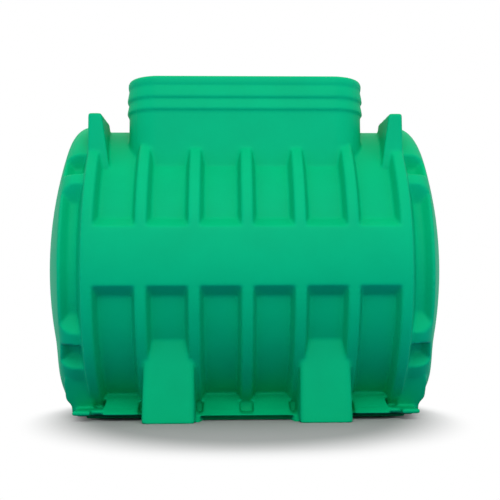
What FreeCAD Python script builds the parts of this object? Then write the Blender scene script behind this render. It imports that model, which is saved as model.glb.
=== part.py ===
"""Underground water tank: a ribbed horizontal barrel with a square access neck and four moulded feet.

Millimetres. X runs along the barrel, the seen side faces -Y, +Z is up and the tank stands on z = 0.
The moulding is one hollow skin. It is divided here into named pieces that meet face to face.
"""
import FreeCAD, Part
import math
import os
import Sketcher

V = FreeCAD.Vector

SIZES = (
    ("wall", 8, "thickness of the moulded skin"),
    ("bay_radius", 495, "outside radius of the skin between the ribs"),
    ("rib_height", 40, "how far a rib stands out of the bays"),
    ("rib_pitch", 164, "from one rib to the next"),
    ("crown_width", 33, "flat top of a rib"),
    ("rib_draft", 13, "how far each side of a rib leans out"),
    ("ground_cut", 21, "how much of a rib's height the ground plane takes off below"),
    ("belt_half", 86, "half the height of the smooth belt"),
    ("belt_draft", 25, "how far the belt's ledges lean out"),
    ("neck_half_length", 390, "half the neck along the barrel"),
    ("neck_half_width", 390, "half the neck across the barrel"),
    ("neck_corner", 101, "corner radius of the neck"),
    ("neck_stand", 72, "top of the neck above the top of a full rib"),
    ("lip_depth", 26, "height of the smooth lip round the mouth"),
    ("lip_round", 8, "height of the lean at the lip's top edge"),
    ("lip_proud", 4, "how far the lip stands out of the neck wall"),
    ("lip_groove", 12, "height of the groove under the lip"),
    ("bead_proud", 7, "how far a barb stands out of the neck wall"),
    ("bead_pitch", 41, "from one barb to the next"),
    ("bead_undercut", 5, "height of the short face under a barb"),
    ("strip_gap", 9, "from the strip beside the neck to the neck's corner"),
    ("lug_width", 41, "lifting lug along the barrel, at its top"),
    ("lug_flare", 30, "how far a lug's inner side leans out down to its root"),
    ("lug_front_inset", 133, "lug's front face behind the ribs' reach"),
    ("lug_back_inset", 349, "where the lug runs out into the barrel, behind the ribs' reach"),
    ("lug_drop", 57, "lug's front top edge below the top of a full rib"),
    ("lug_back_drop", 42, "lug's rear top edge below the top of a full rib"),
    ("lug_root", 180, "how far below its front top edge a lug is rooted"),
    ("foot_width", 158, "one foot along the barrel, at its top"),
    ("foot_flare", 4, "how far each side of a foot leans out down to the ground"),
    ("foot_rise", 256, "top edge of a foot above the ground"),
    ("foot_inset", 89, "foot's front face at the ground, behind the ribs' reach"),
    ("foot_lean", 22, "how far the foot's face leans in up to its top edge"),
    ("foot_corner", 14, "rounding of a foot's upright front edges"),
    ("skirt_rise", 78, "top edge of the base skirt above the ground"),
    ("skirt_inset", 128, "skirt at the ground, behind the ribs' reach"),
    ("notch_rise", 22, "bottom of the notch in the skirt above the ground"),
    ("notch_width", 44, "notch in the skirt where a rib runs down"),
    ("notch_run", 64, "how far a notch runs in behind the sole's long sides"),
    ("sole_inset", 72, "sole's long sides behind the skirt's reach"),
    ("sole_rise", 34, "top of the sole beyond the skirts"),
    ("sole_length", 9, "sole beyond the end ribs"),
    ("flange_inset", 36, "flange's front behind the skirt's reach"),
    ("flange_length", 34, "flange beyond the end ribs"),
    ("flange_root", 24, "how far the flange starts inside the end ribs"),
    ("undercut_rise", 19, "raised lower edge of the outer skirts and the flanges"),
    ("shoulder_step", 19, "how far the shoulder beyond the end ribs stands out of the bays' radius"),
    ("shoulder_length", 55, "from the end rib to the edge of the dish"),
    ("dish_rise", 105, "how far the dished end stands out of its edge"),
    ("hoop_round", 60, "rounding between shoulder and dished end"),
    ("dish_inset", 59, "where the shoulder pieces meet the dish, inside the shoulder radius"),
    ("shoulder_split", 340, "half width of the top and bottom shoulder pieces"),
    ("pocket_depth", 48, "floor of a pocket below the shoulder"),
    ("pocket_floor", 27, "flat floor of a pocket along the barrel"),
    ("long_pocket", 27, "half the angle of the long pocket at mid height"),
    ("long_ramp", 5, "angle that each end of the long pocket slopes over"),
    ("small_pocket", 37, "angle of a small pocket's middle above or below mid height"),
    ("small_half", 5, "half the angle of a small pocket"),
    ("small_ramp", 2.5, "angle that each end of a small pocket slopes over"),
)

RIBS = (-2, -1, 0, 1, 2)
END_RIBS = ((-3, "left"), (3, "right"))
SIDES = ((-1, "front"), (1, "rear"))
TOUCHING = 0.5
FOOT_BAYS = ((-1.5, "left"), (1.5, "right"))

doc = FreeCAD.newDocument("UndergroundTank")
sheet = doc.addObject("Spreadsheet::Sheet", "Sizes")
for row, (alias, number, meaning) in enumerate(SIZES, start=1):
    sheet.set("A%d" % row, meaning)
    sheet.set("B%d" % row, str(number))
    sheet.setAlias("B%d" % row, alias)
doc.recompute()


class Size:
    """A length or angle with its number now and the expression that keeps it tied to the sheet."""

    def __init__(self, number, text):
        self.number = float(number)
        self.text = text

    @staticmethod
    def of(other):
        if isinstance(other, Size):
            return other
        return Size(other, "(%r)" % other)

    def __add__(self, other):
        other = Size.of(other)
        return Size(self.number + other.number, "(%s + %s)" % (self.text, other.text))

    def __sub__(self, other):
        other = Size.of(other)
        return Size(self.number - other.number, "(%s - %s)" % (self.text, other.text))

    def __mul__(self, other):
        other = Size.of(other)
        return Size(self.number * other.number, "(%s * %s)" % (self.text, other.text))

    def __truediv__(self, other):
        other = Size.of(other)
        return Size(self.number / other.number, "(%s / %s)" % (self.text, other.text))

    def __neg__(self):
        return Size(-self.number, "(0 - %s)" % self.text)


def size(alias):
    return Size(sheet.get(alias), "Sizes.%s" % alias)


wall = size("wall")
bay_radius = size("bay_radius")
rib_pitch = size("rib_pitch")
crown_radius = bay_radius + size("rib_height")
axis_height = crown_radius - size("ground_cut")
inner_radius = bay_radius - wall
shoulder_radius = bay_radius + size("shoulder_step")
half_crown = size("crown_width") / 2
half_rib = half_crown + size("rib_draft")
rib_lean = size("rib_draft") / size("rib_height")
end_rib_inside = rib_pitch * 3 - half_rib
end_rib_outside = rib_pitch * 3 + half_rib
shoulder_end = end_rib_outside + size("shoulder_length")
half_length = shoulder_end + size("dish_rise")
far = half_length + crown_radius
zero = Size(0, "0")


def polar(radius, angle):
    """Point in y and z from the barrel axis, the angle counted up from the horizontal."""
    turn = math.radians(angle.number)
    across = Size(radius.number * math.cos(turn), "(%s * cos(%s))" % (radius.text, angle.text))
    up = Size(radius.number * math.sin(turn), "(%s * sin(%s))" % (radius.text, angle.text))
    return across, up


def half_chord(radius, drop):
    """Half the width of a circle at a distance below its centre."""
    number = math.sqrt(radius.number ** 2 - drop.number ** 2)
    return Size(number, "sqrt(%s ^ 2 - %s ^ 2)" % (radius.text, drop.text))


def bind(item, **sizes):
    """Ties properties of a document object to the sheet."""
    for name, value in sizes.items():
        item.setExpression(name, Size.of(value).text)


def place(item, x=zero, y=zero, z=zero):
    for letter, value in (("x", x), ("y", y), ("z", z)):
        item.setExpression("Placement.Base.%s" % letter, Size.of(value).text)


def block(name, x, y, z):
    """Box between pairs of sizes; z counts from the barrel axis."""
    box = doc.addObject("Part::Box", name)
    bind(box, Length=Size.of(x[1]) - x[0], Width=Size.of(y[1]) - y[0], Height=Size.of(z[1]) - z[0])
    place(box, Size.of(x[0]), Size.of(y[0]), axis_height + z[0])
    return box


def barrel(name, radius, x_from, x_to):
    """Cylinder along the barrel axis."""
    cylinder = doc.addObject("Part::Cylinder", name)
    bind(cylinder, Radius=radius, Height=Size.of(x_to) - x_from)
    cylinder.Placement = FreeCAD.Placement(V(0, 0, 0), FreeCAD.Rotation(V(0, 1, 0), 90))
    place(cylinder, Size.of(x_from), zero, axis_height)
    return cylinder


def cut(name, base, *tools):
    """The base less each tool."""
    tool = tools[0]
    if len(tools) > 1:
        tool = doc.addObject("Part::MultiFuse", name + "_tools")
        tool.Shapes = list(tools)
    result = doc.addObject("Part::Cut", name)
    result.Base = base
    result.Tool = tool
    return result


def common(name, *items):
    result = doc.addObject("Part::MultiCommon", name)
    result.Shapes = list(items)
    return result


def fuse(name, *items):
    result = doc.addObject("Part::MultiFuse", name)
    result.Shapes = list(items)
    return result


def origin_plane(body, role):
    return next(item for item in body.Origin.OriginFeatures if item.Role == role)


def outline(body, role, name, corners):
    """Closed straight-sided sketch whose corners are held by distances bound to the sheet."""
    sketch = body.newObject("Sketcher::SketchObject", name)
    sketch.AttachmentSupport = [(origin_plane(body, role), "")]
    sketch.MapMode = "FlatFace"
    corners = [(Size.of(across), Size.of(up)) for across, up in corners]
    count = len(corners)
    for index, (across, up) in enumerate(corners):
        next_across, next_up = corners[(index + 1) % count]
        start = V(across.number, up.number, 0)
        sketch.addGeometry(Part.LineSegment(start, V(next_across.number, next_up.number, 0)), False)
    for index in range(count):
        sketch.addConstraint(Sketcher.Constraint("Coincident", index, 2, (index + 1) % count, 1))
    for index, (across, up) in enumerate(corners):
        for kind, value in (("DistanceX", across), ("DistanceY", up)):
            number = sketch.addConstraint(Sketcher.Constraint(kind, -1, 1, index, 1, value.number))
            sketch.setExpression("Constraints[%d]" % number, value.text)
    return sketch


def new_body(name):
    """Body whose own X axis is the barrel axis."""
    body = doc.addObject("PartDesign::Body", name)
    place(body, z=axis_height)
    return body


def turned(name, corners):
    """Profile in x and radius, turned about the barrel axis."""
    body = new_body(name)
    sketch = outline(body, "XZ_Plane", name + "_profile", corners)
    turn = body.newObject("PartDesign::Revolution", name + "_turn")
    turn.Profile = sketch
    turn.ReferenceAxis = (sketch, ["H_Axis"])
    turn.Angle = 360
    return body


def extruded(name, corners, x_from, x_to):
    """Profile in y and z from the axis, extruded along the barrel."""
    body = new_body(name)
    place(body, x=Size.of(x_from), z=axis_height)
    sketch = outline(body, "YZ_Plane", name + "_profile", corners)
    pad = body.newObject("PartDesign::Pad", name + "_pad")
    pad.Profile = sketch
    bind(pad, Length=Size.of(x_to) - x_from)
    return body


def across_bar(name, corners, width):
    """Profile in x and z from the axis, extruded across the barrel to both sides."""
    body = new_body(name)
    sketch = outline(body, "XZ_Plane", name + "_profile", corners)
    pad = body.newObject("PartDesign::Pad", name + "_pad")
    pad.Profile = sketch
    pad.Midplane = True
    bind(pad, Length=width)
    return body


def facing(side, corners):
    """The profile for the seen side, or mirrored for the far side."""
    return [(Size.of(across) * side, up) for across, up in corners]


def span(side, near, distant):
    """Two places on one side of the centre plane, in rising order."""
    return sorted((near * side, distant * side), key=lambda place: place.number)


def rounded(name, item, radius, chosen):
    """The item with a fillet on each edge whose box passes the test."""
    fillet = doc.addObject("Part::Fillet", name)
    fillet.Base = item
    doc.recompute()
    edges = enumerate(item.Shape.Edges, start=1)
    fillet.Edges = [(number, radius.number, radius.number) for number, edge in edges if chosen(edge.BoundBox)]
    return fillet


nodes = {}


def piece(name, item):
    item.Label = name
    nodes[name] = item


def rib_profile(centre):
    """Hat section with the skin's wall all round."""
    foot_inside = half_rib - wall
    top_inside = half_crown - wall + rib_lean * wall
    return [(centre - half_rib, inner_radius), (centre - half_rib, bay_radius),
            (centre - half_crown, crown_radius), (centre + half_crown, crown_radius),
            (centre + half_rib, bay_radius), (centre + half_rib, inner_radius),
            (centre + foot_inside, inner_radius), (centre + top_inside, crown_radius - wall),
            (centre - top_inside, crown_radius - wall), (centre - foot_inside, inner_radius)]


# Volumes that the skin runs round: the neck, the belts, the base with its notches, the feet.

inner_barrel = barrel("inner_barrel", inner_radius, -far, far)
crown_barrel = barrel("crown_barrel", crown_radius, -far, far)
crown_inside = barrel("crown_inside", crown_radius - wall, -far, far)

neck_rise = crown_radius + size("neck_stand")
half_x = size("neck_half_length")
half_y = size("neck_half_width")
neck_post = block("neck_post", (-half_x, half_x), (-half_y, half_y), (zero, neck_rise + wall))
neck_outside = rounded("neck_outside", neck_post, size("neck_corner"),
                       lambda box: box.ZLength > neck_rise.number)

belts = {}
belt_lean = size("belt_draft") / size("rib_height")
belt_outer_reach = crown_radius + wall
belt_inner_reach = inner_radius - size("rib_height")


def belt_profile(side, shrink):
    """Section of the belt: its ledges lean out from the crown radius inwards."""
    out_half = size("belt_half") - shrink - belt_lean * (belt_outer_reach - crown_radius)
    in_half = size("belt_half") - shrink + belt_lean * (crown_radius - belt_inner_reach)
    return facing(side, [(belt_outer_reach, out_half), (belt_inner_reach, in_half),
                         (belt_inner_reach, -in_half), (belt_outer_reach, -out_half)])


for side, where in SIDES:
    belt_length = rib_pitch * 3
    outer_bar = extruded("belt_bar_" + where, belt_profile(side, zero), -belt_length, belt_length)
    inner_bar = extruded("belt_hollow_" + where, belt_profile(side, wall), -belt_length, belt_length)
    belts[side] = (outer_bar, common("belt_void_" + where, inner_bar, crown_inside))

ground = -axis_height
skirt_top = ground + size("skirt_rise")
skirt_reach = crown_radius - size("skirt_inset")
skirt_top_reach = half_chord(bay_radius, -skirt_top)
sole_reach = skirt_reach - size("sole_inset")
sole_end = end_rib_outside + size("sole_length")
flange_reach = skirt_reach - size("flange_inset")
flange_end = end_rib_outside + size("flange_length")
flange_start = end_rib_outside - size("flange_root")
sole_top = ground + size("sole_rise")
undercut_top = ground + size("undercut_rise")
undercut_start = rib_pitch * 1.5 + size("foot_width") / 2


def base_section(shrink):
    """Trapezoid of the base: level bottom and top, and a sloping skirt on each side."""
    slope_shift = shrink * 2
    low = skirt_reach - slope_shift
    high = skirt_top_reach - slope_shift
    top = skirt_top - shrink / 2
    return [(-low, ground + shrink), (-high, top), (high, top), (low, ground + shrink)]


base_body = extruded("base_body", base_section(zero), -end_rib_inside, end_rib_inside)
base_hollow = extruded("base_hollow", base_section(wall), -end_rib_inside + wall, end_rib_inside - wall)
sole_body = block("sole_body", (-sole_end, sole_end), (-sole_reach, sole_reach), (ground, sole_top))
sole_hollow = block("sole_hollow", (-sole_end + wall, sole_end - wall),
                    (-sole_reach + wall, sole_reach - wall), (ground + wall, sole_top - wall))
flanges = []
for outward, where in ((-1, "left"), (1, "right")):
    reach = span(outward, flange_start, flange_end)
    flanges.append(block("flange_" + where, reach, (-flange_reach, flange_reach), (undercut_top, sole_top)))


def recesses(name, grow):
    """Notches where the ribs run down, and the undercut below the outer skirts and the flanges."""
    items = []
    half = size("notch_width") / 2 + grow
    clear = skirt_reach + wall
    for side, where in SIDES:
        across = span(side, sole_reach - size("notch_run") - grow, clear)
        for rib in RIBS:
            centre = rib_pitch * rib
            items.append(block("%s_notch_%s_%d" % (name, where, rib + 3), (centre - half, centre + half), across,
                               (ground + size("notch_rise") - grow, skirt_top + wall)))
        for outward, end in ((-1, "left"), (1, "right")):
            items.append(block("%s_undercut_%s_%s" % (name, where, end), span(outward, undercut_start - grow, far),
                               span(side, sole_reach - grow, clear), (ground - wall, undercut_top + grow)))
    return fuse(name, *items)


base_outside = cut("base_outside", fuse("base_blank", base_body, sole_body, *flanges),
                   cut("recess_set", recesses("recess", zero), crown_barrel))
base_void = cut("base_void", fuse("base_void_blank", base_hollow, sole_hollow),
                cut("recess_wall_set", recesses("recess_wall", wall), crown_inside))

feet = {}
foot_top = ground + size("foot_rise")
foot_reach = crown_radius - size("foot_inset")
foot_top_reach = foot_reach - size("foot_lean")
foot_root = skirt_top_reach - wall * 3


def foot_solid(name, side, centre, shrink):
    """One foot, smaller all round by shrink: a leaning face and sides that flare towards the ground."""
    low = ground + shrink
    high = foot_top - shrink
    root = foot_root - shrink
    section = facing(side, [(foot_reach - shrink, low), (foot_top_reach - shrink, high), (root, high), (root, low)])
    top_half = size("foot_width") / 2 - shrink
    low_half = top_half + size("foot_flare")
    bar = extruded(name + "_section", section, centre - low_half, centre + low_half)
    flare = across_bar(name + "_flare", [(centre - low_half, low), (centre - top_half, high),
                                         (centre + top_half, high), (centre + low_half, low)], far * 2)
    sharp = common(name + "_sharp", bar, flare)
    front = foot_top_reach.number - wall.number * 2
    return rounded(name, sharp, size("foot_corner") - shrink,
                   lambda box: box.ZLength > size("foot_rise").number / 2
                   and min(abs(box.YMin), abs(box.YMax)) > front)


for bay, where in FOOT_BAYS:
    for side, face in SIDES:
        name = "foot_%s_%s" % (face, where)
        centre = rib_pitch * bay
        outside = foot_solid(name + "_outside", side, centre, zero)
        void = foot_solid(name + "_void", side, centre, wall)
        feet[(side, bay)] = outside
        piece(name, cut(name, outside, void, inner_barrel, base_void))

foot_blocks = fuse("foot_blocks", *feet.values())
below_ground = block("below_ground", (-far, far), (-far, far), (ground - crown_radius, ground))

# Ribs one to five: rings cut back where the neck, the belts, the base and the feet run through them.

openings = fuse("rib_openings", neck_outside, belts[-1][0], belts[1][0], base_outside, foot_blocks, below_ground)
for rib in RIBS:
    ring = turned("ring_%d" % (rib + 3), rib_profile(rib_pitch * rib))
    piece("rib_%d" % (rib + 3), cut("rib_%d" % (rib + 3), ring, openings))

# Bays: plain skin between neighbouring ribs, in four runs round the barrel.

bay_rings = []
for bay in (-2.5, -1.5, -0.5, 0.5, 1.5, 2.5):
    left = rib_pitch * (bay - 0.5) + half_rib
    right = rib_pitch * (bay + 0.5) - half_rib
    name = "bay_ring_%d" % int(bay + 3.5)
    bay_rings.append(turned(name, [(left, inner_radius), (left, bay_radius), (right, bay_radius), (right, inner_radius)]))
bay_tube = fuse("bay_tube", *bay_rings)
bay_skin = cut("bay_skin", bay_tube, openings)
strip = half_y - size("neck_corner") + size("strip_gap")
for side, where in SIDES:
    across = span(side, strip, far)
    whole = span(side, zero, far)
    upper = block("upper_%s_zone" % where, (-far, far), across, (zero, far))
    lower = block("lower_%s_zone" % where, (-far, far), whole, (-far, zero))
    piece("upper_%s_bays" % where, common("upper_%s_bays" % where, bay_skin, upper))
    piece("lower_%s_bays" % where, common("lower_%s_bays" % where, bay_skin, lower))

for side, where in SIDES:
    outer_bar, void = belts[side]
    belt_solid = common("belt_solid_" + where, outer_bar, turned("belt_span_" + where, [
        (-end_rib_inside, zero), (-end_rib_inside, bay_radius), (-end_rib_inside - size("rib_draft"), crown_radius),
        (end_rib_inside + size("rib_draft"), crown_radius), (end_rib_inside, bay_radius), (end_rib_inside, zero)]))
    piece("belt_" + where, cut("belt_" + where, belt_solid, void, inner_barrel))

# End rings with their lifting lugs, and the strip of skin between the lugs.

lug_half = size("lug_width") / 2
lug_front = crown_radius - size("lug_front_inset")
lug_back = crown_radius - size("lug_back_inset")
lug_rise = crown_radius - size("lug_drop")
lug_back_rise = crown_radius - size("lug_back_drop")
lug_low = lug_rise - size("lug_root")
ring_gap = half_chord(crown_radius, lug_rise)
lug_profile = [(lug_front, lug_rise), (lug_back, lug_back_rise), (lug_back, lug_low), (lug_front, lug_low)]
trim_profile = [(-far, lug_rise), (-lug_front, lug_rise), (-lug_back, lug_back_rise),
                (lug_back, lug_back_rise), (lug_front, lug_rise), (far, lug_rise), (far, far), (-far, far)]
for rib, where in END_RIBS:
    centre = rib_pitch * rib
    outward = 1 if rib > 0 else -1
    beside = (centre - half_rib - wall, centre + half_rib + wall)
    flare = across_bar("lug_flare_" + where, [
        (centre + lug_half * outward, lug_back_rise), (centre + lug_half * outward, lug_low),
        (centre - (lug_half + size("lug_flare")) * outward, lug_low), (centre - lug_half * outward, lug_back_rise)],
        far * 2)
    cover = turned("cover_ring_" + where, [(centre - half_rib, inner_radius), (centre - half_rib, bay_radius),
                                           (centre + half_rib, bay_radius), (centre + half_rib, inner_radius)])
    reach = span(outward, half_x / 2, end_rib_outside)
    cover_zone = block("cover_zone_" + where, reach, (-ring_gap, ring_gap), (zero, far))
    cover_top = common("cover_top_" + where, cover, cover_zone)
    bay_zone = block("bay_top_zone_" + where, reach, (-strip, strip), (zero, far))
    bay_top = common("bay_top_" + where, bay_skin, bay_zone)
    piece("top_strip_" + where, fuse("top_strip_" + where, cover_top, bay_top))
    lug_blocks = []
    for side, face in SIDES:
        name = "lug_%s_%s" % (face, where)
        bar = extruded(name + "_bar", facing(side, lug_profile), beside[0] - lug_half, beside[1] + lug_half)
        lug_block = common(name + "_block", bar, flare)
        lug_blocks.append(lug_block)
        piece(name, cut(name, lug_block, inner_barrel, bay_skin, cover_top))
    trim = extruded("ring_trim_" + where, trim_profile, beside[0], beside[1])
    gap = block("ring_gap_" + where, beside, (-ring_gap, ring_gap), (zero, far))
    ring = turned("end_ring_body_" + where, rib_profile(centre))
    piece("end_ring_" + where, cut("end_ring_" + where, ring, trim, gap, base_outside, below_ground, *lug_blocks))

# Base: sloping skirts with a notch at each rib, and the flat floor.

skin_of_base = cut("skin_of_base", base_outside, base_void, inner_barrel, foot_blocks)
for side, where in SIDES:
    zone = block("skirt_zone_" + where, (-far, far), span(side, zero, far), (ground + wall, zero))
    piece("skirt_" + where, common("skirt_" + where, skin_of_base, zone))
floor_zone = block("floor_zone", (-far, far), (-far, far), (ground, ground + wall))
floor_blank = common("floor_blank", base_outside, floor_zone)
piece("base_floor", cut("base_floor", floor_blank, foot_blocks))

# Ends: shoulder with pockets, rounded into a dished end.


def end_solid(name, outward, shrink):
    """One end as a solid, smaller all round by shrink: a short drum closed by a dish and rounded at its hoop."""
    shoulder = shoulder_radius - shrink
    edge = shoulder_end - shrink
    apex = half_length - shrink
    rise = apex - edge
    dish = (shoulder * shoulder + rise * rise) / (rise * 2)
    reach = span(outward, end_rib_outside + shrink, apex)
    drum = barrel(name + "_drum", shoulder, reach[0], reach[1])
    ball = doc.addObject("Part::Sphere", name + "_ball")
    bind(ball, Radius=dish)
    place(ball, (apex - dish) * outward, zero, axis_height)
    domed = common(name + "_domed", drum, ball)
    at_edge = edge.number * outward
    return rounded(name, domed, size("hoop_round") - shrink,
                   lambda box: box.XLength < TOUCHING and abs(box.XMin - at_edge) < TOUCHING)


pocket_radius = shoulder_radius - size("pocket_depth")
pocket_start = end_rib_outside + rib_lean * (bay_radius - pocket_radius)
POCKETS = (("long", zero, size("long_pocket"), size("long_ramp")),
           ("upper", size("small_pocket"), size("small_half"), size("small_ramp")),
           ("lower", -size("small_pocket"), size("small_half"), size("small_ramp")))


def pocket_set(name, outward, grow):
    """All pockets of one end, larger all round by grow: drafted rings cut to their angles."""
    floor_radius = pocket_radius - grow
    clear = crown_radius + wall
    floor_end = pocket_start + size("pocket_floor") + grow / 2
    if grow.number > 0:
        inner_side = [(end_rib_outside, floor_radius)]
    else:
        inner_side = [(end_rib_outside, bay_radius), (pocket_start, floor_radius)]
    corners = [(end_rib_outside, clear)] + inner_side
    corners += [(floor_end, floor_radius), (floor_end + clear - floor_radius, clear)]
    ring = turned(name + "_ring", [(x * outward, radius) for x, radius in corners])
    turn = grow / shoulder_radius * (180 / math.pi)
    wedges = []
    for pocket, middle, half, ramp in POCKETS:
        opening = half + turn
        low_half = opening - ramp
        high_half = opening + ramp * (clear - shoulder_radius) / size("pocket_depth")
        for side, where in SIDES:
            sides = [polar(floor_radius, middle - low_half), polar(clear, middle - high_half),
                     polar(far, middle), polar(clear, middle + high_half), polar(floor_radius, middle + low_half)]
            wedges.append(extruded("%s_%s_%s" % (name, pocket, where), facing(side, sides), *span(outward, zero, far)))
    return common(name, ring, fuse(name + "_wedges", *wedges))


dish_edge = shoulder_radius - size("dish_inset")
split = size("shoulder_split")
for rib, where in END_RIBS:
    outward = 1 if rib > 0 else -1
    outside = end_solid("end_outside_" + where, outward, zero)
    inside = end_solid("end_inside_" + where, outward, wall)
    throat = barrel("throat_" + where, inner_radius, *span(outward, end_rib_outside, end_rib_outside + wall * 2))
    pocketed = cut("end_pocketed_" + where, outside, below_ground, pocket_set("pockets_" + where, outward, zero))
    low_floor = block("end_floor_" + where, (-far, far), (-far, far), (ground - crown_radius, ground + wall))
    void = cut("end_void_" + where, fuse("end_room_" + where, inside, throat), low_floor,
               pocket_set("pocket_walls_" + where, outward, wall))
    shell = cut("end_skin_" + where, pocketed, void)
    dish_zone = barrel("dish_zone_" + where, dish_edge, -far, far)
    piece("dished_end_" + where, common("dished_end_" + where, shell, dish_zone))
    ring = cut("shoulder_ring_" + where, shell, dish_zone, base_outside)
    for level, up in (("top", (zero, far)), ("bottom", (-far, zero))):
        name = "shoulder_%s_%s" % (level, where)
        piece(name, common(name, ring, block(name + "_zone", (-far, far), (-split, split), up)))
    for side, face in SIDES:
        name = "shoulder_%s_%s" % (face, where)
        piece(name, common(name, ring, block(name + "_zone", (-far, far), span(side, split, far), (-far, far))))

# Neck: four walls and four corners, each with the barbed profile and the lip of the mouth.


def neck_profile(face):
    """Section of the neck wall: across from the barrel's centre plane, up from the barrel axis."""
    lip = face + size("lip_proud")
    proud = face + size("bead_proud")
    undercut = size("bead_undercut")
    under_lip = neck_rise - size("lip_depth")
    first = under_lip - size("bead_pitch") - undercut
    second = first - size("bead_pitch")
    return [(face - wall, zero), (face - wall, neck_rise), (face - size("lip_round") / 4, neck_rise),
            (lip, neck_rise - size("lip_round")), (lip, under_lip),
            (face, under_lip - size("lip_groove") / 3), (face + size("lip_proud") / 2, under_lip - size("lip_groove")),
            (proud, first + undercut), (proud, first), (face, first - undercut / 2),
            (proud, second + undercut), (proud, second), (face, second - undercut / 2), (face, zero)]


corner = size("neck_corner")
for side, where in SIDES:
    name = "neck_%s_wall" % where
    wall_bar = extruded(name + "_bar", facing(side, neck_profile(half_y)), -half_x + corner, half_x - corner)
    piece(name, cut(name, wall_bar, inner_barrel))
QUARTERS = {(-1, -1): 180, (1, -1): 270, (1, 1): 0, (-1, 1): 90}
for outward, where in ((-1, "left"), (1, "right")):
    name = "neck_%s_wall" % where
    wall_bar = across_bar(name + "_bar", facing(outward, neck_profile(half_x)), (half_y - corner) * 2)
    piece(name, cut(name, wall_bar, inner_barrel, nodes["top_strip_" + where]))
    for side, face in SIDES:
        name = "neck_corner_%s_%s" % (face, where)
        body = new_body(name + "_bar")
        sketch = outline(body, "XZ_Plane", name + "_profile", neck_profile(corner))
        turn = body.newObject("PartDesign::Revolution", name + "_turn")
        turn.Profile = sketch
        turn.ReferenceAxis = (sketch, ["V_Axis"])
        turn.Angle = 90
        body.Placement = FreeCAD.Placement(V(0, 0, 0), FreeCAD.Rotation(V(0, 0, 1), QUARTERS[(outward, side)]))
        place(body, (half_x - corner) * outward, (half_y - corner) * side, axis_height)
        piece(name, cut(name, body, inner_barrel))

doc.recompute()

for item in doc.Objects:
    if "Invalid" in item.State or "Error" in item.State:
        raise RuntimeError("%s: %s" % (item.Name, item.State))
for name, item in nodes.items():
    if item.Shape.isNull() or not item.Shape.isValid() or not item.Shape.Solids:
        raise RuntimeError("%s has no sound shape" % name)

os.makedirs("parts", exist_ok=True)
for name, item in nodes.items():
    shape = item.Shape
    print("%-26s solids %2d  volume %8.3f l" % (name, len(shape.Solids), shape.Volume / 1e6))
    shape.exportStep("parts/%s.step" % name)
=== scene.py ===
import math

import bpy
import numpy
from mathutils import Matrix, Vector


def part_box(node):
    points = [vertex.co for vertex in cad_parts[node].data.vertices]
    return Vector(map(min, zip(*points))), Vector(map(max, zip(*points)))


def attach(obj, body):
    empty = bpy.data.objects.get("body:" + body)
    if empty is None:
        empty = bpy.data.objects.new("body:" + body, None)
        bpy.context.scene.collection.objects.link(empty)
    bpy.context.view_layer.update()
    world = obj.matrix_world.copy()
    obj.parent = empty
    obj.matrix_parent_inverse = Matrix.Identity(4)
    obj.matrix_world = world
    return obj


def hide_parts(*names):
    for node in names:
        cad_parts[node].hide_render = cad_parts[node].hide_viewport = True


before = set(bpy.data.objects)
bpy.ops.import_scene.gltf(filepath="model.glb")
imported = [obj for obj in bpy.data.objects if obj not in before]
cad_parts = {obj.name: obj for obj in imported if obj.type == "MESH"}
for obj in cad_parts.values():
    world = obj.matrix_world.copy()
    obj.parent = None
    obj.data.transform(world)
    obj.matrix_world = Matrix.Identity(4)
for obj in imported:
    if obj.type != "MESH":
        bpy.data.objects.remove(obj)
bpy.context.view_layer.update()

# Sizes in metres, angles in degrees. The tank stands on z = 0 and its seen side faces -Y.

# Camera, fitted to the photo. It sees as far as SIGHT, and LEVEL turns it from looking down to looking ahead.
PHOTO_WIDTH = 500
FOCAL_PIXELS = 850
SENSOR_WIDTH_MM = 36
SIGHT = 200
EYE = Vector((-0.066, -3.113, 0.274))
EYE_UP = 5.67
EYE_TURN = -1.63
EYE_ROLL = 0.28
LEVEL = 90

# Sections across the base, as distance from the middle and height, and their stretches along the barrel.
SIDES = (("front", -1), ("rear", 1))
SKIRT_SECTION = ((0.4062, 0.0004), (0.385, 0.0004), (0.236, 0.064), (0.236, 0.0766))
SKIRT_STRETCHES = (("left", -0.142, -0.022), ("right", 0.022, 0.142))
HEEL_SECTION = ((0.262, 0.0004), (0.272, 0.034), (0.345, 0.137), (0.30, 0.100), (0.25, 0.069), (0.20, 0.044),
                (0.20, 0.0004))
HEEL_STRETCHES = (("left", -0.573, -0.5), ("right", 0.5, 0.573))

# End hoops: how far their low side is pushed outwards, and where that sets in and dies out.
HOOP_SHIFT = 0.016
HOOP_SETS_IN = (0.04, 0.07)
HOOP_DIES_OUT = (0.11, 0.27)
HOOP_ALONG = (0.515, 0.565)

# Recess below the skirts: how far it is pushed in, its ceiling, and its edges along and across the base.
RECESS_DEPTH = 0.085
RECESS_CEILING = (0.011, 0.017)
RECESS_OUTSIDE_FEET = (0.328, 0.334)
RECESS_BETWEEN_FEET = (0.142, 0.148)
RECESS_BACK = (0.12, 0.30)

# Skin: remeshed finely enough to keep the barbs, then smoothed until its edges are as round as moulded ones.
MERGE_DISTANCE = 0.00002
VOXEL = 0.0045
SMOOTH_STRENGTH = 0.5
SMOOTH_ROUNDS = 9
SLICE_TRIANGLES = 185000
SHARP_ANGLE = 65

# Slices of the skin along the barrel. The outer planes lie beyond the ends, and the box that cuts is taller
# and wider than the tank.
SLICES = (
    ("left_end_skin", -1, -0.36),
    ("barrel_skin_left", -0.36, -0.134),
    ("barrel_skin_middle", -0.134, 0.134),
    ("barrel_skin_right", 0.134, 0.36),
    ("right_end_skin", 0.36, 1),
)
CUTTER_HEIGHT = 2
CUTTER_MIDDLE = 0.5

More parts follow.
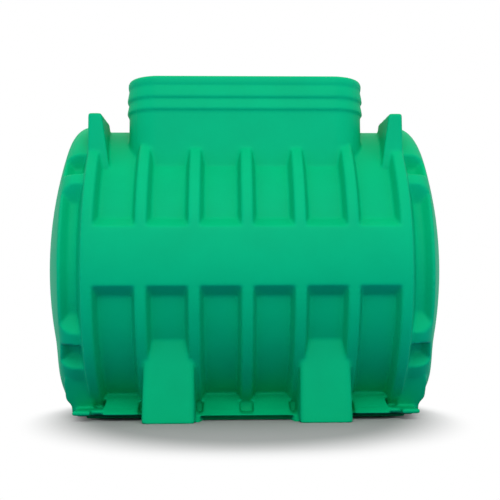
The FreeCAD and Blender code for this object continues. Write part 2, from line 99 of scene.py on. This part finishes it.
# Polyethylene: scales are in counts per metre, heights in metres.
GREEN = "#00BA79"
GREEN_DEEP = "#00AA6F"
CLOUD_SCALE = 7.0
SWELL_SCALE = 22.0
SWELL_HEIGHT = 0.0012
PEEL_SCALE = 260.0
PEEL_HEIGHT = 0.0003
BUMP_STRENGTH = 0.25
SATIN_FROM = 0.44
SATIN_TO = 0.56
POLYETHYLENE_IOR = 1.51
SHEEN_LEVEL = 0.03

# Floor: grey near the tank, plain white beyond an oval. What it throws back at the tank is darker and bluer.
FLOOR_WIDTH = 60
FLOOR_GREY = "#959595"
FLOOR_BOUNCE = "#526296"
FADE_REACH = (1.9, 1.12, 1.0)
FADE_START = 0.95
FADE_END = 1.45

# Light: each lamp's place, width and power in watts. All aim at the middle of the barrel.
WHITE = (1, 1, 1, 1)
AIR_LEVEL = 0.97
BARREL_MIDDLE = Vector((0, 0, 0.5))
FRONT_SOFTBOX = {"place": (0.1, -3.4, 3.0), "width": 2.0, "power": 42}
LOW_SOFTBOX = {"place": (0.0, -4.4, 0.9), "width": 2.0, "power": 20}
REAR_SOFTBOX = {"place": (0.3, 4.4, 7.6), "width": 2.0, "power": 2400}

node_names = list(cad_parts)


def linear(code):
    """sRGB hex to the linear colour that a shader takes."""
    values = [int(code[i:i + 2], 16) / 255 for i in (1, 3, 5)]
    return [v / 12.92 if v <= 0.04045 else ((v + 0.055) / 1.055) ** 2.4 for v in values] + [1.0]


def add_node(tree, kind, settings=None, inputs=None, links=None):
    """A node with its settings, its socket values and its incoming links."""
    node = tree.nodes.new(kind)
    for name, value in (settings or {}).items():
        setattr(node, name, value)
    for socket, value in (inputs or {}).items():
        node.inputs[socket].default_value = value
    for socket, source in (links or {}).items():
        tree.links.new(source, node.inputs[socket])
    return node


def new_material(name):
    """An empty node material and its tree."""
    material = bpy.data.materials.new(name)
    material.use_nodes = True
    material.node_tree.nodes.clear()
    return material, material.node_tree


def moulded_polyethylene():
    """Rotomoulded linear polyethylene: dense green all through, dull satin, with a faint orange peel.

    Its shade and its dullness drift in clouds about 140 mm across, and its walls swell in waves about 45 mm
    across, as plastic does that cools against a mould on one side. Real peel is 1 to 2 mm across and too fine
    to show, so it is drawn at about 4 mm.
    """
    material, tree = new_material("rotomoulded_polyethylene")
    place = add_node(tree, "ShaderNodeTexCoord")
    where = place.outputs["Object"]
    cloud = add_node(tree, "ShaderNodeTexNoise",
                     inputs={"Scale": CLOUD_SCALE, "Detail": 4.0, "Roughness": 0.55}, links={"Vector": where})
    shade = add_node(tree, "ShaderNodeMix", {"data_type": "RGBA"},
                     {"A": linear(GREEN_DEEP), "B": linear(GREEN)}, {"Factor": cloud.outputs["Fac"]})
    peel = add_node(tree, "ShaderNodeTexNoise",
                    inputs={"Scale": PEEL_SCALE, "Detail": 2.0, "Roughness": 0.5}, links={"Vector": where})
    swell = add_node(tree, "ShaderNodeTexNoise",
                     inputs={"Scale": SWELL_SCALE, "Detail": 2.0, "Roughness": 0.4}, links={"Vector": where})
    waves = add_node(tree, "ShaderNodeBump", inputs={"Strength": BUMP_STRENGTH, "Distance": SWELL_HEIGHT},
                     links={"Height": swell.outputs["Fac"]})
    grain = add_node(tree, "ShaderNodeBump", inputs={"Strength": BUMP_STRENGTH, "Distance": PEEL_HEIGHT},
                     links={"Height": peel.outputs["Fac"], "Normal": waves.outputs["Normal"]})
    satin = add_node(tree, "ShaderNodeMapRange", inputs={"To Min": SATIN_FROM, "To Max": SATIN_TO},
                     links={"Value": cloud.outputs["Fac"]})
    skin = add_node(tree, "ShaderNodeBsdfPrincipled",
                    inputs={"IOR": POLYETHYLENE_IOR, "Specular IOR Level": SHEEN_LEVEL},
                    links={"Base Color": shade.outputs["Result"], "Roughness": satin.outputs["Result"],
                           "Normal": grain.outputs["Normal"]})
    add_node(tree, "ShaderNodeOutputMaterial", links={"Surface": skin.outputs["BSDF"]})
    return material


def deselect_all():
    bpy.ops.object.select_all(action="DESELECT")


def activate(item):
    """Selects the item alone and makes it the active one."""
    deselect_all()
    item.select_set(True)
    bpy.context.view_layer.objects.active = item


def apply_modifier(item, kind, **settings):
    """Adds a modifier with its settings and applies it."""
    activate(item)
    modifier = item.modifiers.new(kind.lower(), kind)
    for name, value in settings.items():
        setattr(modifier, name, value)
    bpy.ops.object.modifier_apply(modifier=modifier.name)


def moulded_bar(name, corners, x_from, x_to):
    """Closed bar along the barrel; its section's corners are given in y and z, going round."""
    deselect_all()
    bpy.ops.mesh.primitive_circle_add(vertices=len(corners), fill_type="NGON", location=(0, 0, 0))
    bar = bpy.context.view_layer.objects.active
    bar.name = name
    for vertex, (across, up) in zip(bar.data.vertices, corners):
        vertex.co = (x_from, across, up)
    bpy.ops.object.mode_set(mode="EDIT")
    bpy.ops.mesh.select_all(action="SELECT")
    bpy.ops.mesh.extrude_region_move(TRANSFORM_OT_translate={"value": (x_to - x_from, 0, 0)})
    bpy.ops.mesh.select_all(action="SELECT")
    bpy.ops.mesh.normals_make_consistent(inside=False)
    bpy.ops.object.mode_set(mode="OBJECT")
    return bar


def base_backing():
    """Plastic behind the middle skirts, whose wall runs out thin low down, and heels under the end hoops."""
    bars = []
    for face, side in SIDES:
        heel = [(side * across, up) for across, up in HEEL_SECTION]
        for end, x_from, x_to in HEEL_STRETCHES:
            bars.append(moulded_bar("heel_%s_%s" % (face, end), heel, x_from, x_to))
        backing = [(side * across, up) for across, up in SKIRT_SECTION]
        for end, x_from, x_to in SKIRT_STRETCHES:
            bars.append(moulded_bar("backing_%s_%s" % (face, end), backing, x_from, x_to))
    return bars


def joined_copy(name, nodes, extra):
    """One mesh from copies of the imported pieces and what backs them, merged where they meet."""
    copies = list(extra)
    for node in nodes:
        source = bpy.data.objects[node]
        copy = bpy.data.objects.new("copy_" + node, source.data.copy())
        copy.matrix_world = source.matrix_world.copy()
        bpy.context.scene.collection.objects.link(copy)
        copies.append(copy)
    deselect_all()
    for copy in copies:
        copy.select_set(True)
    bpy.context.view_layer.objects.active = copies[0]
    bpy.ops.object.join()
    whole = bpy.context.view_layer.objects.active
    whole.name = name
    bpy.ops.object.transform_apply(location=True, rotation=True, scale=True)
    bpy.ops.object.mode_set(mode="EDIT")
    bpy.ops.mesh.select_all(action="SELECT")
    bpy.ops.mesh.remove_doubles(threshold=MERGE_DISTANCE)
    bpy.ops.object.mode_set(mode="OBJECT")
    return whole


def ease(values, start, end):
    """Smooth step from 0 at start to 1 at end."""
    t = numpy.clip((values - start) / (end - start), 0, 1)
    return t * t * (3 - 2 * t)


def shape_base(skin):
    """Pushes the low side of the end hoops outwards, and the skirts' low edge in to a shaded recess."""
    count = len(skin.data.vertices)
    flat = numpy.empty(count * 3, dtype=numpy.float32)
    skin.data.vertices.foreach_get("co", flat)
    points = flat.reshape(count, 3)
    outward = numpy.abs(points[:, 0])
    across = numpy.abs(points[:, 1])
    height = points[:, 2]
    hoop = ease(height, *HOOP_SETS_IN) * (1 - ease(height, *HOOP_DIES_OUT)) * ease(outward, *HOOP_ALONG)
    beside_feet = ease(outward, *RECESS_OUTSIDE_FEET) + 1 - ease(outward, *RECESS_BETWEEN_FEET)
    recess = (1 - ease(height, *RECESS_CEILING)) * beside_feet * ease(across, *RECESS_BACK)
    points[:, 0] += numpy.sign(points[:, 0]) * HOOP_SHIFT * hoop
    points[:, 1] -= numpy.sign(points[:, 1]) * RECESS_DEPTH * recess
    skin.data.vertices.foreach_set("co", points.reshape(-1))
    skin.data.update()


def moulded_skin():
    """The whole moulding as one seamless skin, its edges rounded as plastic flows round them in the mould."""
    skin = joined_copy("tank_skin", node_names, base_backing())
    apply_modifier(skin, "REMESH", mode="VOXEL", voxel_size=VOXEL, adaptivity=0.0)
    shape_base(skin)
    apply_modifier(skin, "SMOOTH", factor=SMOOTH_STRENGTH, iterations=SMOOTH_ROUNDS)
    return skin


def slice_of(skin, name, x_from, x_to):
    """The stretch of the skin between two planes across the barrel, its wall closed where it is cut."""
    part = bpy.data.objects.new(name, skin.data.copy())
    bpy.context.scene.collection.objects.link(part)
    deselect_all()
    bpy.ops.mesh.primitive_cube_add(size=1, location=((x_from + x_to) / 2, 0, CUTTER_MIDDLE),
                                    scale=(x_to - x_from, CUTTER_HEIGHT, CUTTER_HEIGHT))
    cutter = bpy.context.view_layer.objects.active
    apply_modifier(part, "BOOLEAN", operation="INTERSECT", solver="MANIFOLD", object=cutter)
    bpy.data.objects.remove(cutter)
    return part


def triangles(item):
    item.data.calc_loop_triangles()
    return len(item.data.loop_triangles)


def centre_of(node):
    """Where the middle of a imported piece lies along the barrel."""
    low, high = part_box(node)
    return (low[0] + high[0]) / 2


def finish_slice(part, low, high, material):
    """Thins and smooths a slice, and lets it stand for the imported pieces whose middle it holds."""
    count = triangles(part)
    if count > SLICE_TRIANGLES:
        apply_modifier(part, "DECIMATE", decimate_type="COLLAPSE", ratio=SLICE_TRIANGLES / count)
    activate(part)
    bpy.ops.object.shade_smooth_by_angle(angle=math.radians(SHARP_ANGLE))
    part.data.materials.clear()
    part.data.materials.append(material)
    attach(part, "root")
    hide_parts(*[node for node in node_names if low <= centre_of(node) < high])


def tank():
    """The moulding in slices, each light enough to export whole."""
    polyethylene = moulded_polyethylene()
    whole_skin = moulded_skin()
    slices = [slice_of(whole_skin, name, low, high) for name, low, high in SLICES]
    bpy.data.objects.remove(whole_skin)
    for part, (name, low, high) in zip(slices, SLICES):
        finish_slice(part, low, high, polyethylene)


def ray_is_seen(tree):
    """1 for rays from the camera and mirrored ones, 0 for rays that carry light from surface to surface."""
    path = add_node(tree, "ShaderNodeLightPath")
    seen = add_node(tree, "ShaderNodeMath", {"operation": "MAXIMUM"},
                    links={0: path.outputs["Is Camera Ray"], 1: path.outputs["Is Glossy Ray"]})
    return seen.outputs["Value"]


def stage_floor():
    """Pale studio floor that keeps the tank's soft shadow and runs out into plain white."""
    deselect_all()
    bpy.ops.mesh.primitive_plane_add(size=FLOOR_WIDTH, location=(0, 0, 0))
    floor = bpy.context.view_layer.objects.active
    floor.name = "studio_floor"
    material, tree = new_material("studio_white")
    place = add_node(tree, "ShaderNodeTexCoord")
    oval = add_node(tree, "ShaderNodeVectorMath", {"operation": "MULTIPLY"}, {1: FADE_REACH},
                    {0: place.outputs["Object"]})
    away = add_node(tree, "ShaderNodeVectorMath", {"operation": "LENGTH"}, links={0: oval.outputs["Vector"]})
    fade = add_node(tree, "ShaderNodeMapRange", {"interpolation_type": "SMOOTHSTEP"},
                    {"From Min": FADE_START, "From Max": FADE_END}, {"Value": away.outputs["Value"]})
    seen = ray_is_seen(tree)
    white = add_node(tree, "ShaderNodeMath", {"operation": "MULTIPLY"},
                     links={0: seen, 1: fade.outputs["Result"]})
    near = add_node(tree, "ShaderNodeBsdfDiffuse", inputs={"Color": linear(FLOOR_GREY)})
    dark = add_node(tree, "ShaderNodeBsdfDiffuse", inputs={"Color": linear(FLOOR_BOUNCE)})
    bounce = add_node(tree, "ShaderNodeMixShader",
                      links={0: seen, 1: dark.outputs["BSDF"], 2: near.outputs["BSDF"]})
    glow = add_node(tree, "ShaderNodeEmission", inputs={"Color": WHITE, "Strength": 1.0})
    blend = add_node(tree, "ShaderNodeMixShader",
                     links={0: white.outputs["Value"], 1: bounce.outputs["Shader"],
                            2: glow.outputs["Emission"]})
    add_node(tree, "ShaderNodeOutputMaterial", links={"Surface": blend.outputs["Shader"]})
    floor.data.materials.append(material)
    return floor


def studio_world():
    """Even white surroundings, like a light tent."""
    world = bpy.data.worlds.new("studio_surroundings")
    bpy.context.scene.world = world
    world.use_nodes = True
    tree = world.node_tree
    tree.nodes.clear()
    air = add_node(tree, "ShaderNodeBackground", inputs={"Color": WHITE, "Strength": AIR_LEVEL})
    sky = add_node(tree, "ShaderNodeBackground", inputs={"Color": WHITE, "Strength": 1.0})
    mix = add_node(tree, "ShaderNodeMixShader",
                   links={0: ray_is_seen(tree), 1: air.outputs["Background"], 2: sky.outputs["Background"]})
    add_node(tree, "ShaderNodeOutputWorld", links={"Surface": mix.outputs["Shader"]})


def soft_lamp(name, place, width, power):
    """Round softbox that aims at the middle of the barrel."""
    lamp = bpy.data.lights.new(name, "AREA")
    lamp.shape = "DISK"
    lamp.size = width
    lamp.energy = power
    holder = bpy.data.objects.new(name, lamp)
    holder.location = place
    holder.rotation_euler = (BARREL_MIDDLE - Vector(place)).to_track_quat("-Z", "Y").to_euler()
    bpy.context.scene.collection.objects.link(holder)
    return holder


def shadow_lamp(floor):
    """Lamp behind the tank that lights only the floor, for the soft shadow in front of it."""
    lamp = soft_lamp("rear_softbox", **REAR_SOFTBOX)
    lit = bpy.data.collections.new("lit_by_rear_softbox")
    lit.objects.link(floor)
    lamp.light_linking.receiver_collection = lit


def photo_camera():
    """Camera that sees the tank as the photo does."""
    lens = bpy.data.cameras.new("photo_camera")
    lens.sensor_width = SENSOR_WIDTH_MM
    lens.lens = SENSOR_WIDTH_MM * FOCAL_PIXELS / PHOTO_WIDTH
    lens.clip_end = SIGHT
    camera = bpy.data.objects.new("photo_camera", lens)
    camera.matrix_world = (Matrix.Translation(EYE) @ Matrix.Rotation(math.radians(EYE_TURN), 4, "Z")
                           @ Matrix.Rotation(math.radians(EYE_UP), 4, "X")
                           @ Matrix.Rotation(math.radians(EYE_ROLL), 4, "Y")
                           @ Matrix.Rotation(math.radians(LEVEL), 4, "X"))
    bpy.context.scene.collection.objects.link(camera)
    bpy.context.scene.camera = camera


tank()
floor = stage_floor()
studio_world()
soft_lamp("front_softbox", **FRONT_SOFTBOX)
soft_lamp("low_softbox", **LOW_SOFTBOX)
shadow_lamp(floor)
photo_camera()
bpy.context.scene.view_settings.view_transform = "Standard"
